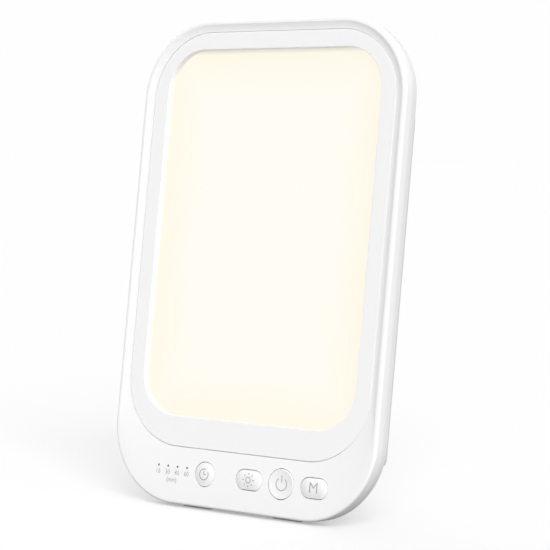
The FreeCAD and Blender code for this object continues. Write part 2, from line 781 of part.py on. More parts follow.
def make_leg():
    """The fold-out leg, drawn with its hinge axis at its own origin and its foot straight down."""
    half = "leg_thickness / 2"
    tip = f"({LEG_LENGTH} - boot_wall - slack)"
    piece = Piece("kickstand_leg")
    piece.across("Pad", "2 * leg_half_width", lambda o: o.circle("0", "0", "barrel_radius"))
    piece.across("Pad", "2 * leg_half_width", lambda o: o.polygon([
        (f"0 - {half}", f"0 - {tip}"), (half, f"0 - {tip}"),
        (half, "heel_height"), ("0 - heel_back", "heel_height"),
        ("0 - heel_back", "0"), (f"0 - {half}", "0")]))
    piece.pocket(f"leg_web - {half}", half, lambda o: o.centred(
        "leg_half_width - leg_rib", f"0 - ({tip} - boot_height - leg_rib)",
        "0 - barrel_radius - leg_rib", "leg_rib"))
    piece.across("Pocket", "2 * leg_half_width + 2 * wall",
                 lambda o: o.circle("0", "0", "pin_radius + running_gap"))
    piece.done(leg_placement())

    boot = Piece("leg_boot")
    outer = BOOT_HALF_DEPTH

    def sole(depth):
        return f"0 - ({LEG_LENGTH} + {depth} * sin({LEG_TILT}) / cos({LEG_TILT}))"

    boot.across("Pad", "2 * boot_half_width", lambda o: o.polygon([
        (f"0 - {outer}", sole(f"(0 - {outer})")), (outer, sole(outer)),
        (outer, f"0 - ({tip} - boot_height)"), (half, f"0 - ({tip} - boot_height)"), (half, f"0 - {tip}"),
        (f"0 - {half}", f"0 - {tip}"), (f"0 - {half}", f"0 - ({tip} - boot_height)"),
        (f"0 - {outer}", f"0 - ({tip} - boot_height)")]))
    boot.done(leg_placement())

    length = number("2 * (recess_half_width + pin_overlap) - running_gap")
    start = FreeCAD.Vector(-length / 2, number("hinge_depth"), number(HINGE_HEIGHT))
    axis = FreeCAD.Vector(1, 0, 0)
    solid_feature("hinge_pin", Part.makeCylinder(number("pin_radius"), length, start, axis))
    washers = []
    for side in (-1, 1):
        outer_face = side * number("recess_half_width")
        thick = number("washer_thickness")
        left = min(outer_face, outer_face - side * thick)
        base = FreeCAD.Vector(left, number("hinge_depth"), number(HINGE_HEIGHT))
        disc = Part.makeCylinder(number("barrel_radius"), thick, base, axis)
        washers.append(disc.cut(Part.makeCylinder(number("pin_radius"), thick, base, axis)))
    solid_feature("friction_washers", Part.makeCompound(washers))


def make_power_parts():
    """Driver board, its components and the power inlet, all inside the rear box."""
    back = "driver_depth + driver_thickness"
    driver = block(DRIVER_LEFT, DRIVER_RIGHT, "driver_depth", back, DRIVER_LOW, DRIVER_HIGH)
    solid_feature("driver_board", driver)
    spacers = [
        rod(x, z, back, BOX_WALL_BACK, "post_radius")
        for x in (f"{DRIVER_LEFT} + wall + post_radius", f"{DRIVER_RIGHT} - wall - post_radius")
        for z in (f"{DRIVER_LOW} + 3 * post_radius", f"{DRIVER_HIGH} - 3 * post_radius")
    ]
    solid_feature("driver_spacers", Part.makeCompound(spacers))
    capacitor = rod(DRIVER_MIDDLE, f"{DRIVER_LOW} + capacitor_rise",
                    "driver_depth - capacitor_height", "driver_depth", "capacitor_radius")
    coils = [
        rod(f"{DRIVER_MIDDLE} + {side} * coil_reach", f"{DRIVER_LOW} + coil_rise",
            "driver_depth - coil_height", "driver_depth", "coil_radius")
        for side in (-1, 1)
    ]
    chip = block(f"{DRIVER_MIDDLE} - chip_length / 2", f"{DRIVER_MIDDLE} + chip_length / 2",
                 "driver_depth - chip_height", "driver_depth",
                 f"{DRIVER_HIGH} - chip_drop", f"{DRIVER_HIGH} - chip_drop + chip_length")
    plug_middle = f"{DRIVER_MIDDLE} + plug_shift"
    plug = block(f"{plug_middle} - plug_width / 2", f"{plug_middle} + plug_width / 2",
                 "driver_depth - plug_height", "driver_depth",
                 f"{DRIVER_HIGH} - plug_drop", f"{DRIVER_HIGH} - plug_drop + plug_length")
    components = [capacitor, *coils, chip, plug]
    solid_feature("driver_components", Part.makeCompound(components))

    size = "inlet_size / 2"
    inner = "box_low + wall"
    case = block(f"inlet_place - {size}", f"inlet_place + {size}", f"{BOX_WALL_BACK} - inlet_size",
                 BOX_WALL_BACK, inner, f"{inner} + inlet_length")
    up = FreeCAD.Vector(0, 0, 1)
    mouth = FreeCAD.Vector(number("inlet_place"), number(INLET_DEPTH), number("box_low"))
    nose = Part.makeCylinder(number("inlet_nose"), number("wall"), mouth, up)
    bore = Part.makeCylinder(number("inlet_bore"), number("inlet_bore_depth"), mouth, up)
    pin = Part.makeCylinder(number("inlet_pin"), number("inlet_bore_depth - wall / 2"),
                            mouth + up * number("wall / 2"), up)
    solid_feature("power_inlet", case.fuse(nose).cut(bore).fuse(pin).removeSplitter())


def make_ribbon():
    """The flat cable from the driver board down and forward to the control board."""
    piece = Piece("control_ribbon")
    thick = "ribbon_thickness"
    connector = f"{DRIVER_LOW} + ribbon_rise"
    level = "box_low + wall + ribbon_floor_gap"
    down = "driver_depth - ribbon_lead"
    top = "board_high - ribbon_top_gap"
    piece.across("Pad", "ribbon_width", lambda o: o.polygon([
        ("driver_depth", connector), (f"{down} - {thick}", connector),
        (f"{down} - {thick}", f"{level} + {thick}"), (BOARD_BACK, f"{level} + {thick}"),
        (BOARD_BACK, top), (f"{BOARD_BACK} + {thick}", top),
        (f"{BOARD_BACK} + {thick}", level), (down, level),
        (down, f"{connector} - {thick}"), ("driver_depth", f"{connector} - {thick}"),
    ]), offset=RIBBON_MIDDLE)
    piece.done()


def wire(points):
    """A round wire through points given in plain sizes, with a tangent arc at each bend."""
    spots = [FreeCAD.Vector(*[number(part) for part in point]) for point in points]
    radius = number("3 * wire_radius")
    edges = []
    start = spots[0]
    for before, corner, after in zip(spots, spots[1:], spots[2:]):
        inward = (before - corner).normalize()
        outward = (after - corner).normalize()
        first = corner + inward * radius
        last = corner + outward * radius
        middle = corner + (inward + outward).normalize() * (2 ** 0.5 - 1) * radius
        edges.append(Part.LineSegment(start, first).toShape())
        edges.append(Part.Arc(first, middle, last).toShape())
        start = last
    edges.append(Part.LineSegment(start, spots[-1]).toShape())
    path = Part.Wire(edges)
    ring = Part.Circle(spots[0], spots[1] - spots[0], number("wire_radius")).toShape()
    return path.makePipeShell([Part.Wire([ring])], True, False)


def make_led_leads():
    """Leads from the driver board over the recess to both rows of lamps."""
    strip = f"{DIFFUSER_BACK} + 2 * led_size"
    above = f"({RECESS_TOP} + recess_wall + {BOX_HIGH} - wall) / 2"
    low_level = f"{PLATE_BACK} + wire_clearance"
    high_level = f"{low_level} + left_wire_lift"
    outer = f"{DRIVER_RIGHT} - wire_inset"
    start = f"{DRIVER_HIGH} - left_wire_drop"
    turn = f"{DRIVER_MIDDLE} - left_wire_reach"
    right = [
        (outer, "driver_depth", LED_MIDDLE),
        (outer, low_level, LED_MIDDLE),
        (WIRE_PLACE, low_level, LED_MIDDLE),
        (WIRE_PLACE, strip, LED_MIDDLE),
    ]
    left = [
        (DRIVER_MIDDLE, "driver_depth", start),
        (DRIVER_MIDDLE, high_level, start),
        (turn, high_level, start),
        (turn, high_level, above),
        (f"0 - ({turn})", high_level, above),
        (f"0 - ({turn})", high_level, LED_MIDDLE),
        (f"0 - ({WIRE_PLACE})", high_level, LED_MIDDLE),
        (f"0 - ({WIRE_PLACE})", strip, LED_MIDDLE),
    ]
    solid_feature("led_leads", Part.makeCompound([wire(right), wire(left)]))


make_front_housing()
make_bezel()
make_light_stack()
make_led_strip("led_strip_right", 1)
make_led_strip("led_strip_left", -1)
make_buttons()
make_control_board()
make_screws()
make_back_cover()
make_feet()
make_leg()
make_power_parts()
make_ribbon()
make_led_leads()
doc.recompute()

for item in doc.Objects:
    if "Invalid" in item.State or "Error" in item.State:
        raise ValueError(f"{item.Name} failed: {item.State}")
for label, item in nodes.items():
    if item.Shape.isNull() or not item.Shape.isValid():
        raise ValueError(f"{label} has no valid shape")

os.makedirs("parts", exist_ok=True)
for label, item in nodes.items():
    item.Shape.exportStep(f"parts/{label}.step")
    box = item.Shape.BoundBox
    print(f"{label}: {len(item.Shape.Solids)} solids, {item.Shape.Volume:.1f} mm3,"
          f" Z {box.ZMin:.2f} to {box.ZMax:.2f}, Y {box.YMin:.2f} to {box.YMax:.2f}")
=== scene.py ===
"""The looks of a slim light therapy lamp: its white case, lit window, buttons and studio.

Sizes are millimetres in the panel's own upright frame, unless a docstring says otherwise: X to the
right, Y from the front face to the back and Z up the panel from its bottom edge.
"""

import logging
import math
from dataclasses import dataclass, field
from enum import Enum
from typing import Any, Callable

import bmesh
import bpy
from mathutils import Matrix, Vector
from mathutils.bvhtree import BVHTree


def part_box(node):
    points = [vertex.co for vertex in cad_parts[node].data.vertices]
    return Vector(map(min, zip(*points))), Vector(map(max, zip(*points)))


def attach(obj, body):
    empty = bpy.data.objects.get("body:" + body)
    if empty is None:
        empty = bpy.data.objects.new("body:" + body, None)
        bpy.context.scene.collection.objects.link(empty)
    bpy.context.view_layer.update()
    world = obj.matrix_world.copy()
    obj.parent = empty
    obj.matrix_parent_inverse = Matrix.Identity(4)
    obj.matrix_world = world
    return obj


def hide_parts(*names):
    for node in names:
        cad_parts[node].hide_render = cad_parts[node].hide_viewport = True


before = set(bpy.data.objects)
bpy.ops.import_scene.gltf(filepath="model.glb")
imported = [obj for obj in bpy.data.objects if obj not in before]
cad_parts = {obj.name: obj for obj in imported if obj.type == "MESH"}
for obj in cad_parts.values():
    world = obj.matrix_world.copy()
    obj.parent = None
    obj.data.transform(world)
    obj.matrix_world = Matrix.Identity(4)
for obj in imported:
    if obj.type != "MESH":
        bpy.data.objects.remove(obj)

LOG = logging.getLogger("lamp")
MM = 0.001
WELD = 1e-3
LETTER_STEPS = 4

Colour = tuple[float, float, float]
Mesh = bmesh.types.BMesh


class Body(Enum):
    """The moving groups that the new pieces ride on."""

    LAMP = "lamp"
    TIMER = "timer"
    BRIGHTNESS = "brightness"
    POWER = "power"
    MODE = "mode"


@dataclass(frozen=True)
class Stance:
    """How the panel leans back over the table, in degrees and millimetres."""

    lean: float = 8.36
    lift: float = 1.7
    edge_round: float = 1.0

    def front_edge(self) -> float:
        """The Y of the front face's bottom edge.

        Returns:
            It in metres.
        """
        turn = math.radians(self.lean)
        rolled = self.edge_round * MM * (math.sin(turn) + math.cos(turn) - 1)
        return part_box("front_housing")[0].y - rolled

    def matrix(self) -> Matrix:
        """Takes millimetres in the panel's upright frame to metres in the row frame."""
        move = Matrix.Translation((0, self.front_edge(), self.lift * MM))
        return move @ Matrix.Rotation(-math.radians(self.lean), 4, "X") @ Matrix.Scale(MM, 4)


STANCE = Stance()
FLAT = Matrix.Rotation(math.pi / 2, 4, "X")


class Value:
    """One shader number that Python operators can work on."""

    def __init__(self, shader: "Nodes", socket: Any) -> None:
        """Keeps the socket and the tree it belongs to."""
        self.shader = shader
        self.socket = socket

    def _math(self, operation: str, first: Any, second: Any) -> "Value":
        """Adds one Math node.

        Args:
            operation: The node's operation.
            first: Its first value or link.
            second: Its second value or link.

        Returns:
            The node's result.
        """
        node = self.shader.node("ShaderNodeMath", {"operation": operation}, {0: first, 1: second})
        return Value(self.shader, node.outputs[0])

    def __add__(self, other: Any) -> "Value":
        """Sum."""
        return self._math("ADD", self, other)

    def __radd__(self, other: Any) -> "Value":
        """Sum, reflected."""
        return self._math("ADD", other, self)

    def __sub__(self, other: Any) -> "Value":
        """Difference."""
        return self._math("SUBTRACT", self, other)

    def __rsub__(self, other: Any) -> "Value":
        """Difference, reflected."""
        return self._math("SUBTRACT", other, self)

    def __mul__(self, other: Any) -> "Value":
        """Product."""
        return self._math("MULTIPLY", self, other)

    def __rmul__(self, other: Any) -> "Value":
        """Product, reflected."""
        return self._math("MULTIPLY", other, self)

    def __truediv__(self, other: Any) -> "Value":
        """Quotient."""
        return self._math("DIVIDE", self, other)

    def distance(self) -> "Value":
        """The number without its sign."""
        return self._math("ABSOLUTE", self, 0.0)

    def at_most(self, other: Any) -> "Value":
        """The smaller of two numbers."""
        return self._math("MINIMUM", self, other)

    def at_least(self, other: Any) -> "Value":
        """The larger of two numbers."""
        return self._math("MAXIMUM", self, other)


def feed(tree: Any, socket: Any, value: Any) -> None:
    """Gives an input its value or its link.

    Args:
        tree: The node tree.
        socket: The input.
        value: A number, a colour, another node's output or a Value.
    """
    source = value.socket if isinstance(value, Value) else value
    if isinstance(source, bpy.types.NodeSocket):
        tree.links.new(source, socket)
    else:
        socket.default_value = source


class Nodes:
    """A node tree that is filled by one method."""

    def __init__(self, tree: Any) -> None:
        """Empties the tree and keeps it."""
        self.tree = tree
        self.tree.nodes.clear()

    def node(self, kind: str, settings: dict[str, Any], values: dict[Any, Any]) -> Any:
        """Adds one node.

        Args:
            kind: The node's type.
            settings: Attributes set before its sockets.
            values: A value or a link for each named or numbered input.

        Returns:
            The new node.
        """
        made = self.tree.nodes.new(kind)
        for name, value in settings.items():
            setattr(made, name, value)
        for key, value in values.items():
            feed(self.tree, made.inputs[key], value)
        return made


class Shader(Nodes):
    """A material's node tree, with its principled shader and its output at hand."""

    def __init__(self, name: str) -> None:
        """Starts a material.

        Args:
            name: The material's name.
        """
        self.material = bpy.data.materials.new(name)
        self.material.use_nodes = True
        super().__init__(self.material.node_tree)
        self.base = self.node("ShaderNodeBsdfPrincipled", {}, {})
        self.output = self.node("ShaderNodeOutputMaterial", {}, {"Surface": self.base.outputs["BSDF"]})

    def set(self, **values: Any) -> None:
        """Gives the principled shader its values or links.

        Args:
            **values: One for each input, named with underscores for spaces.
        """
        for name, value in values.items():
            feed(self.tree, self.base.inputs[name.replace("_", " ")], value)

    def upright(self) -> Any:
        """Object coordinates in the panel's upright frame.

        Returns:
            The link of a place in millimetres.
        """
        place = self.node("ShaderNodeTexCoord", {}, {}).outputs["Object"]
        turned = STANCE.matrix().inverted()
        mapping = self.node("ShaderNodeMapping", {"vector_type": "POINT"}, {
            "Vector": place,
            "Location": turned.to_translation(),
            "Rotation": (math.radians(STANCE.lean), 0, 0),
            "Scale": (1 / MM, 1 / MM, 1 / MM),
        })
        return mapping.outputs["Vector"]

    def noise(self, scale: float, detail: float = 2.0) -> Value:
        """Even noise on Object coordinates.

        Args:
            scale: Grains to the metre.
            detail: Octaves.

        Returns:
            The noise's factor.
        """
        place = self.node("ShaderNodeTexCoord", {}, {}).outputs["Object"]
        made = self.node("ShaderNodeTexNoise", {}, {"Vector": place, "Scale": scale, "Detail": detail})
        return Value(self, made.outputs[0])

    def blend(self, mask: Any, low: Any, high: Any) -> Any:
        """Mixes two colours by a mask.

        Args:
            mask: 0 shows the low colour, and 1 the high one.
            low: A colour or a link.
            high: A colour or a link.

        Returns:
            The mixed colour's link.
        """
        first, second = ((*part, 1) if isinstance(part, tuple) else part for part in (low, high))
        made = self.node("ShaderNodeMix", {"data_type": "RGBA"}, {0: mask, 6: first, 7: second})
        return made.outputs[2]

    def bump(self, height: Any, strength: float, distance: float) -> None:
        """Feeds a height to the shader's normal.

        Args:
            height: The height's link.
            strength: How much of it shows.
            distance: Its depth in metres.
        """
        values = {"Height": height, "Strength": strength, "Distance": distance}
        self.set(Normal=self.node("ShaderNodeBump", {}, values).outputs["Normal"])


@dataclass(frozen=True)
class MouldedPlastic:
    """Opaque plastic with a fine spark-eroded grain and a slight drift of tone."""

    name: str
    colour: Colour
    drift: float = 0.015
    patches: float = 28.0
    roughness: float = 0.42
    unevenness: float = 0.08
    gloss: float = 0.35
    grain: float = 2600.0
    grain_detail: float = 1.0
    relief: float = 0.25
    depth: float = 0.000012

    def build(self) -> Any:
        """Makes the material.

        Returns:
            The material.
        """
        shader = Shader(self.name)
        patch = shader.noise(self.patches)
        grain = shader.noise(self.grain, self.grain_detail)
        darker = tuple(part * (1 - self.drift) for part in self.colour)
        shader.set(
            Base_Color=shader.blend(patch, darker, self.colour),
            Roughness=self.roughness + (grain - 0.5) * self.unevenness,
            Specular_IOR_Level=self.gloss,
        )
        shader.bump(grain, self.relief, self.depth)
        return shader.material


@dataclass(frozen=True)
class LitAcrylic:
    """A frosted sheet lit from its edges: near white in the middle, cream along the frame, with a painted
    shadow of the frame along its top edge.
    """

    name: str
    middle: Colour = (1.0, 0.968, 0.90)
    edge: Colour = (1.0, 0.94, 0.80)
    half_width: float = 61.1
    low: float = 41.2
    high: float = 215.6
    fade: float = 26.0
    # painted shadow of the frame: the width and greyer colour of a strip along the panel's top edge
    painted_shadow_width: float = 2.0
    painted_shadow: Colour = (0.74, 0.72, 0.66)
    clouds: float = 9.0
    cloudiness: float = 0.06
    body: Colour = (0.05, 0.05, 0.05)
    roughness: float = 0.55
    gloss: float = 0.1
    glow: float = 0.95
    frosting: float = 1800.0
    frosting_detail: float = 1.0
    relief: float = 0.15
    depth: float = 0.00001

    def build(self) -> Any:
        """Makes the material.

        Returns:
            The material.
        """
        shader = Shader(self.name)
        parts = shader.node("ShaderNodeSeparateXYZ", {}, {0: shader.upright()})
        across = Value(shader, parts.outputs["X"]).distance()
        up = Value(shader, parts.outputs["Z"])
        inside = (self.half_width - across).at_most(up - self.low).at_most(self.high - up)
        level = (inside / self.fade).at_least(0.0).at_most(1.0)
        smooth = level * level * (3.0 - 2.0 * level)
        haze = (shader.noise(self.clouds) - 0.5) * self.cloudiness
        lit = shader.blend(smooth + haze, self.edge, self.middle)
        # painted shadow: over the top few millimetres the glow fades to a greyer colour, as if the frame
        # shaded the panel
        clear = ((self.high - up) / self.painted_shadow_width).at_least(0.0).at_most(1.0)
        shader.set(
            Base_Color=(*self.body, 1),
            Roughness=self.roughness,
            Emission_Color=shader.blend(clear, self.painted_shadow, lit),
            Emission_Strength=self.glow,
            Specular_IOR_Level=self.gloss,
        )
        frost = shader.noise(self.frosting, self.frosting_detail)
        shader.bump(frost, self.relief, self.depth)
        return shader.material


@dataclass(frozen=True)
class Metal:
    """Rolled or turned metal with a fine brushed streak."""

    name: str
    colour: Colour
    roughness: float = 0.36
    unevenness: float = 0.2
    streaks: float = 900.0
    streak_detail: float = 3.0
    drift: float = 0.15
    relief: float = 0.1
    depth: float = 0.00001

    def build(self) -> Any:
        """Makes the material.

        Returns:
            The material.
        """
        shader = Shader(self.name)
        streak = shader.noise(self.streaks, self.streak_detail)
        darker = tuple(part * (1 - self.drift) for part in self.colour)
        shader.set(
            Base_Color=shader.blend(streak, darker, self.colour),
            Metallic=1.0,
            Roughness=self.roughness + (streak - 0.5) * self.unevenness,
        )
        shader.bump(streak, self.relief, self.depth)
        return shader.material


@dataclass(frozen=True)
class Clear:
    """Clear moulded acrylic with faint surface haze."""

    name: str
    colour: Colour = (0.93, 0.95, 0.96)
    clearness: float = 0.85
    roughness: float = 0.08
    unevenness: float = 0.1
    clouds: float = 300.0

    def build(self) -> Any:
        """Makes the material.

        Returns:
            The material.
        """
        shader = Shader(self.name)
        shader.set(
            Base_Color=(*self.colour, 1),
            Transmission_Weight=self.clearness,
            Roughness=self.roughness + shader.noise(self.clouds) * self.unevenness,
        )
        return shader.material


class Finishes:
    """Every material of the lamp, made once."""

    def __init__(self) -> None:
        """Builds the materials."""
        plastic = MouldedPlastic
        self.case = plastic("white case plastic", (0.905, 0.905, 0.91)).build()
        self.bezel = plastic("white bezel plastic", (0.905, 0.905, 0.91), roughness=0.38).build()
        self.cover = plastic("white cover plastic", (0.86, 0.86, 0.865), roughness=0.5).build()
        self.button = plastic("button plastic", (0.88, 0.88, 0.885), roughness=0.34, grain=3600.0).build()
        self.black = plastic("black moulding", (0.03, 0.03, 0.032), roughness=0.5).build()
        self.rubber = plastic("foot rubber", (0.80, 0.80, 0.81), roughness=0.8, grain=900.0).build()
        self.ink = plastic("grey ink", (0.46, 0.46, 0.47), roughness=0.6).build()
        self.dot = plastic("dark lens", (0.10, 0.10, 0.11), roughness=0.2).build()
        self.board = plastic("green board", (0.02, 0.16, 0.06), roughness=0.35, grain=500.0).build()
        self.white_board = plastic("white board", (0.85, 0.85, 0.82), roughness=0.4).build()
        self.ribbon = plastic("grey insulation", (0.45, 0.45, 0.46), roughness=0.5).build()
        self.film = plastic("white film", (0.93, 0.93, 0.93), roughness=0.25).build()
        self.steel = Metal("screw steel", (0.56, 0.57, 0.59)).build()
        self.aluminium = Metal("sheet metal", (0.75, 0.76, 0.78), 0.42).build()
        self.window = LitAcrylic("lit diffuser").build()
        self.clear = Clear("clear guide").build()


@dataclass(frozen=True)
class Ring:
    """One rounded-rectangle loop, in millimetres of the panel's upright frame."""

    half: float
    low: float
    high: float
    radius: float
    depth: float
    centre: float = 0.0

    def corner(self, side: float, rise: float) -> Vector:
        """The middle of one corner's arc.

        Args:
            side: Its sign says which side, left or right.
            rise: Its sign says which end, bottom or top.

        Returns:
            The arc's middle.
        """
        across = self.centre + math.copysign(self.half - self.radius, side)
        reach = (self.high - self.low) / 2 - self.radius
        return Vector((across, self.depth, (self.low + self.high) / 2 + math.copysign(reach, rise)))


class Rings:
    """A mesh drawn out from one rounded-rectangle loop to the next."""

    def __init__(self, segments: int) -> None:
        """Starts an empty mesh.

        Args:
            segments: How many points each loop has.
        """
        self.mesh = bmesh.new()
        self.segments = segments
        self.first: list[Any] = []
        self.last: list[Any] = []
        self.ring = Ring(1.0, -1.0, 1.0, 1.0, 0.0)
        self.start = self.ring

    def _settle(self, verts: list[Any], ring: Ring) -> None:
        """Moves a loop's points from the last ring to a new one.

        Args:
            verts: The points.
            ring: Where they go.
        """
        middle = Vector((self.ring.centre, self.ring.depth, (self.ring.low + self.ring.high) / 2))
        for vert in verts:
            way = vert.co - middle
            bend = (vert.co - self.ring.corner(way.x, way.z)) / self.ring.radius
            vert.co = ring.corner(way.x, way.z) + bend * ring.radius

    def add(self, ring: Ring) -> None:
        """Draws the mesh out to one more loop, or starts it.

        Args:
            ring: The loop's size and place.
        """
        if self.last:
            made = bmesh.ops.extrude_edge_only(self.mesh, edges=self.last)["geom"]
            verts = [item for item in made if isinstance(item, bmesh.types.BMVert)]
            fresh = set(verts)
            self.last = [
                item for item in made
                if isinstance(item, bmesh.types.BMEdge) and fresh.issuperset(item.verts)
            ]
        else:
            turn = FLAT @ Matrix.Rotation(math.pi / self.segments, 4, "Z")
            verts = bmesh.ops.create_circle(
                self.mesh, cap_ends=False, segments=self.segments, radius=1.0, matrix=turn)["verts"]
            self.last = list(self.mesh.edges)
            self.first = self.last
            self.start = ring
        self._settle(verts, ring)
        self.ring = ring

    def close(self) -> None:
        """Draws the last loop back onto the first and welds them."""
        self.add(self.start)
        bmesh.ops.remove_doubles(self.mesh, verts=self.mesh.verts, dist=WELD)

    def cap(self) -> None:
        """Fills the first and the last loop."""
        for loop in (self.first, self.last):
            bmesh.ops.edgeloop_fill(self.mesh, edges=loop)


def quarter_round(steps: int) -> list[tuple[float, float]]:
    """The points of a quarter round whose radius is 1.

    Args:
        steps: How many steps it is drawn in.

    Returns:
        How far each point has come in, and how far it still is from the face.
    """
    turns = [math.pi / 2 * step / steps for step in range(steps + 1)]
    return [(1 - math.cos(turn), 1 - math.sin(turn)) for turn in turns]


def away(azimuth: float, height: float) -> Vector:
    """The way from the lamp to something that faces it.

    Args:
        azimuth: Degrees round from the front, positive to the right.
        height: Degrees above the horizon.

    Returns:
        A vector one long.
    """
    turn = math.radians(azimuth)
    rise = math.radians(height)
    return Vector((math.sin(turn) * math.cos(rise), -math.cos(turn) * math.cos(rise), math.sin(rise)))


def facing(back: Vector) -> Any:
    """The turn of a lamp or camera that looks against a direction."""
    return (-back).to_track_quat("-Z", "Y").to_euler()


def show(name: str, data: Any) -> Any:
    """Puts a new object into the scene.

    Args:
        name: Its name.
        data: Its mesh, curve, lamp or camera.

    Returns:
        The object.
    """
    made = bpy.data.objects.new(name, data)
    bpy.context.scene.collection.objects.link(made)
    return made


def settled(name: str, mesh: Mesh) -> Any:
    """Turns a bmesh into mesh data and frees it.

    Args:
        name: The data's name.
        mesh: The bmesh.

    Returns:
        The mesh data.
    """
    data = bpy.data.meshes.new(name)
    mesh.to_mesh(data)
    mesh.free()
    return data


def finish_piece(name: str, mesh: Mesh, material: Any, body: Body, sharp: float = 32.0) -> Any:
    """Turns a bmesh in the upright frame into a finished object.

    Args:
        name: The object's name.
        mesh: The bmesh, in millimetres.
        material: Its material.
        body: What it rides on.
        sharp: Edges that turn more than this many degrees stay crisp.

    Returns:
        The new object.
    """
    bmesh.ops.transform(mesh, matrix=STANCE.matrix(), verts=mesh.verts)
    for face in mesh.faces:
        face.smooth = True
    data = settled(name, mesh)
    data.set_sharp_from_angle(angle=math.radians(sharp))
    data.materials.append(material)
    made = show(name, data)
    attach(made, body.value)
    LOG.info("%s: %d faces", name, len(data.polygons))
    return made


def outward(mesh: Mesh) -> None:
    """Points a closed mesh's faces outwards."""
    bmesh.ops.recalc_face_normals(mesh, faces=mesh.faces)


@dataclass(frozen=True)
class ButtonShape:
    """A button's place and outline in millimetres, with the depths of its edge and its middle."""

    body: Body
    centre: float
    half_width: float
    half_height: float
    radius: float
    edge_depth: float
    middle_depth: float


@dataclass
class Controls:
    """The four buttons, their gaps in the panel, the symbols and the timer's scale."""

    finishes: Finishes
    height: float = 15.4
    back: float = 2.5
    gap: float = 0.32
    edge: float = 0.3
    crisp: float = 40.0
    core: float = 0.25
    points: int = 64
    edge_steps: int = 5
    face_steps: int = 12
    cut_front: float = -2.0
    cut_back: float = 7.0
    dot_radius: float = 0.5
    dot_gap: float = 0.05
    dot_height: float = 17.3
    dot_first: float = -46.7
    dot_pitch: float = 5.67
    dot_points: int = 20
    lens: tuple[tuple[float, float], ...] = ((0.5, 4.5), (0.5, 0.52), (0.4, 0.44), (0.15, 0.42))
    minutes: tuple[str, ...] = ("15", "30", "45", "60")
    minute_size: float = 3.0
    minute_height: float = 14.4
    unit: str = "(min)"
    unit_size: float = 2.9
    unit_height: float = 11.0
    shapes: list[ButtonShape] = field(default_factory=lambda: [
        ButtonShape(Body.TIMER, -19.0, 5.6, 5.6, 5.6, 0.5, -0.25),
        ButtonShape(Body.BRIGHTNESS, 6.75, 7.4, 4.55, 4.4, 0.5, -0.2),
        ButtonShape(Body.POWER, 25.0, 6.9, 6.9, 6.9, 0.2, 0.80),
        ButtonShape(Body.MODE, 43.3, 7.4, 4.55, 4.4, 0.5, -0.2),
    ])

    def loop(self, shape: ButtonShape, inset: float, depth: float) -> Ring:
        """A button's outline.

        Args:
            shape: The button.
            inset: How far the outline is drawn in.
            depth: Its depth behind the panel's front.

        Returns:
            The loop.
        """
        low = self.height - shape.half_height + inset
        high = self.height + shape.half_height - inset
        return Ring(shape.half_width - inset, low, high, shape.radius - inset, depth, shape.centre)

    def dot_loop(self, dot: float, radius: float, depth: float) -> Ring:
        """A circle round one dot's middle.

        Args:
            dot: The dot's place across the panel.
            radius: The circle's radius.
            depth: Its depth behind the panel's front.

        Returns:
            The loop.
        """
        return Ring(radius, self.dot_height - radius, self.dot_height + radius, radius, depth, dot)

    def dots(self) -> list[float]:
        """The indicator dots' places across the panel."""
        return [self.dot_first + index * self.dot_pitch for index in range(len(self.minutes))]

    def cutter(self) -> Mesh:
        """Prisms that open the panel round the buttons and the dots.

        Returns:
            One bmesh of closed prisms in the upright frame.
        """
        whole = bmesh.new()
        ends = (self.cut_front, self.cut_back)
        for shape in self.shapes:
            join(whole, prism(self.points, [self.loop(shape, -self.gap, depth) for depth in ends]))
        reach = self.dot_radius + self.dot_gap
        for dot in self.dots():
            join(whole, prism(self.dot_points, [self.dot_loop(dot, reach, depth) for depth in ends]))
        outward(whole)
        return whole

    def build_cap(self, shape: ButtonShape) -> None:
        """Makes one button with rolled edges and a domed or dished face.

        Args:
            shape: The button.
        """
        loops = [self.loop(shape, 0.0, self.back)]
        for across, down in quarter_round(self.edge_steps):
            loops.append(self.loop(shape, self.edge * across, shape.edge_depth + self.edge * down))
        inner = shape.radius - self.core
        for step in range(1, self.face_steps + 1):
            part = step / self.face_steps
            inset = self.edge + (inner - self.edge) * part
            fall = 1 - (1 - part) ** 2
            depth = shape.edge_depth + (shape.middle_depth - shape.edge_depth) * fall
            loops.append(self.loop(shape, inset, depth))
        cap = prism(self.points, loops)
        outward(cap)
        Symbols(self, BVHTree.FromBMesh(cap), shape).build()
        label = f"{shape.body.value}_cap"
        piece = finish_piece(label, cap, self.finishes.button, shape.body, self.crisp)
        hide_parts(f"{shape.body.value}_button")

    def build_dots(self) -> None:
        """Makes the dark indicator lenses."""
        whole = bmesh.new()
        for dot in self.dots():
            loops = [self.dot_loop(dot, radius, depth) for radius, depth in self.lens]
            join(whole, prism(self.dot_points, loops))
        outward(whole)
        piece = finish_piece("indicator_lenses", whole, self.finishes.dot, Body.LAMP)
        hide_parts("indicator_light_rods")

    def build_scale(self, tree: BVHTree) -> None:
        """Prints the timer's minutes under the dots.

        Args:
            tree: The panel's surface in the upright frame.
        """
        whole = bmesh.new()
        for dot, word in zip(self.dots(), self.minutes):
            add_text(whole, word, self.minute_size, dot, self.minute_height)
        middle = self.dot_first + (len(self.minutes) - 1) / 2 * self.dot_pitch
        add_text(whole, self.unit, self.unit_size, middle, self.unit_height)
        lay_on(whole, tree)
        piece = finish_piece("timer_scale", whole, self.finishes.ink, Body.LAMP)

    def build(self, tree: BVHTree) -> None:
        """Makes everything on the control panel.

        Args:
            tree: The panel's surface in the upright frame.
        """
        for shape in self.shapes:
            self.build_cap(shape)
        self.build_dots()
        self.build_scale(tree)


def prism(points: int, loops: list[Ring]) -> Mesh:
    """A closed body drawn through loops and filled at both ends.

    Args:
        points: How many points each loop has.
        loops: The loops in order.

    Returns:
        A bmesh in the upright frame.
    """
    body = Rings(points)
    for ring in loops:
        body.add(ring)
    body.cap()
    return body.mesh


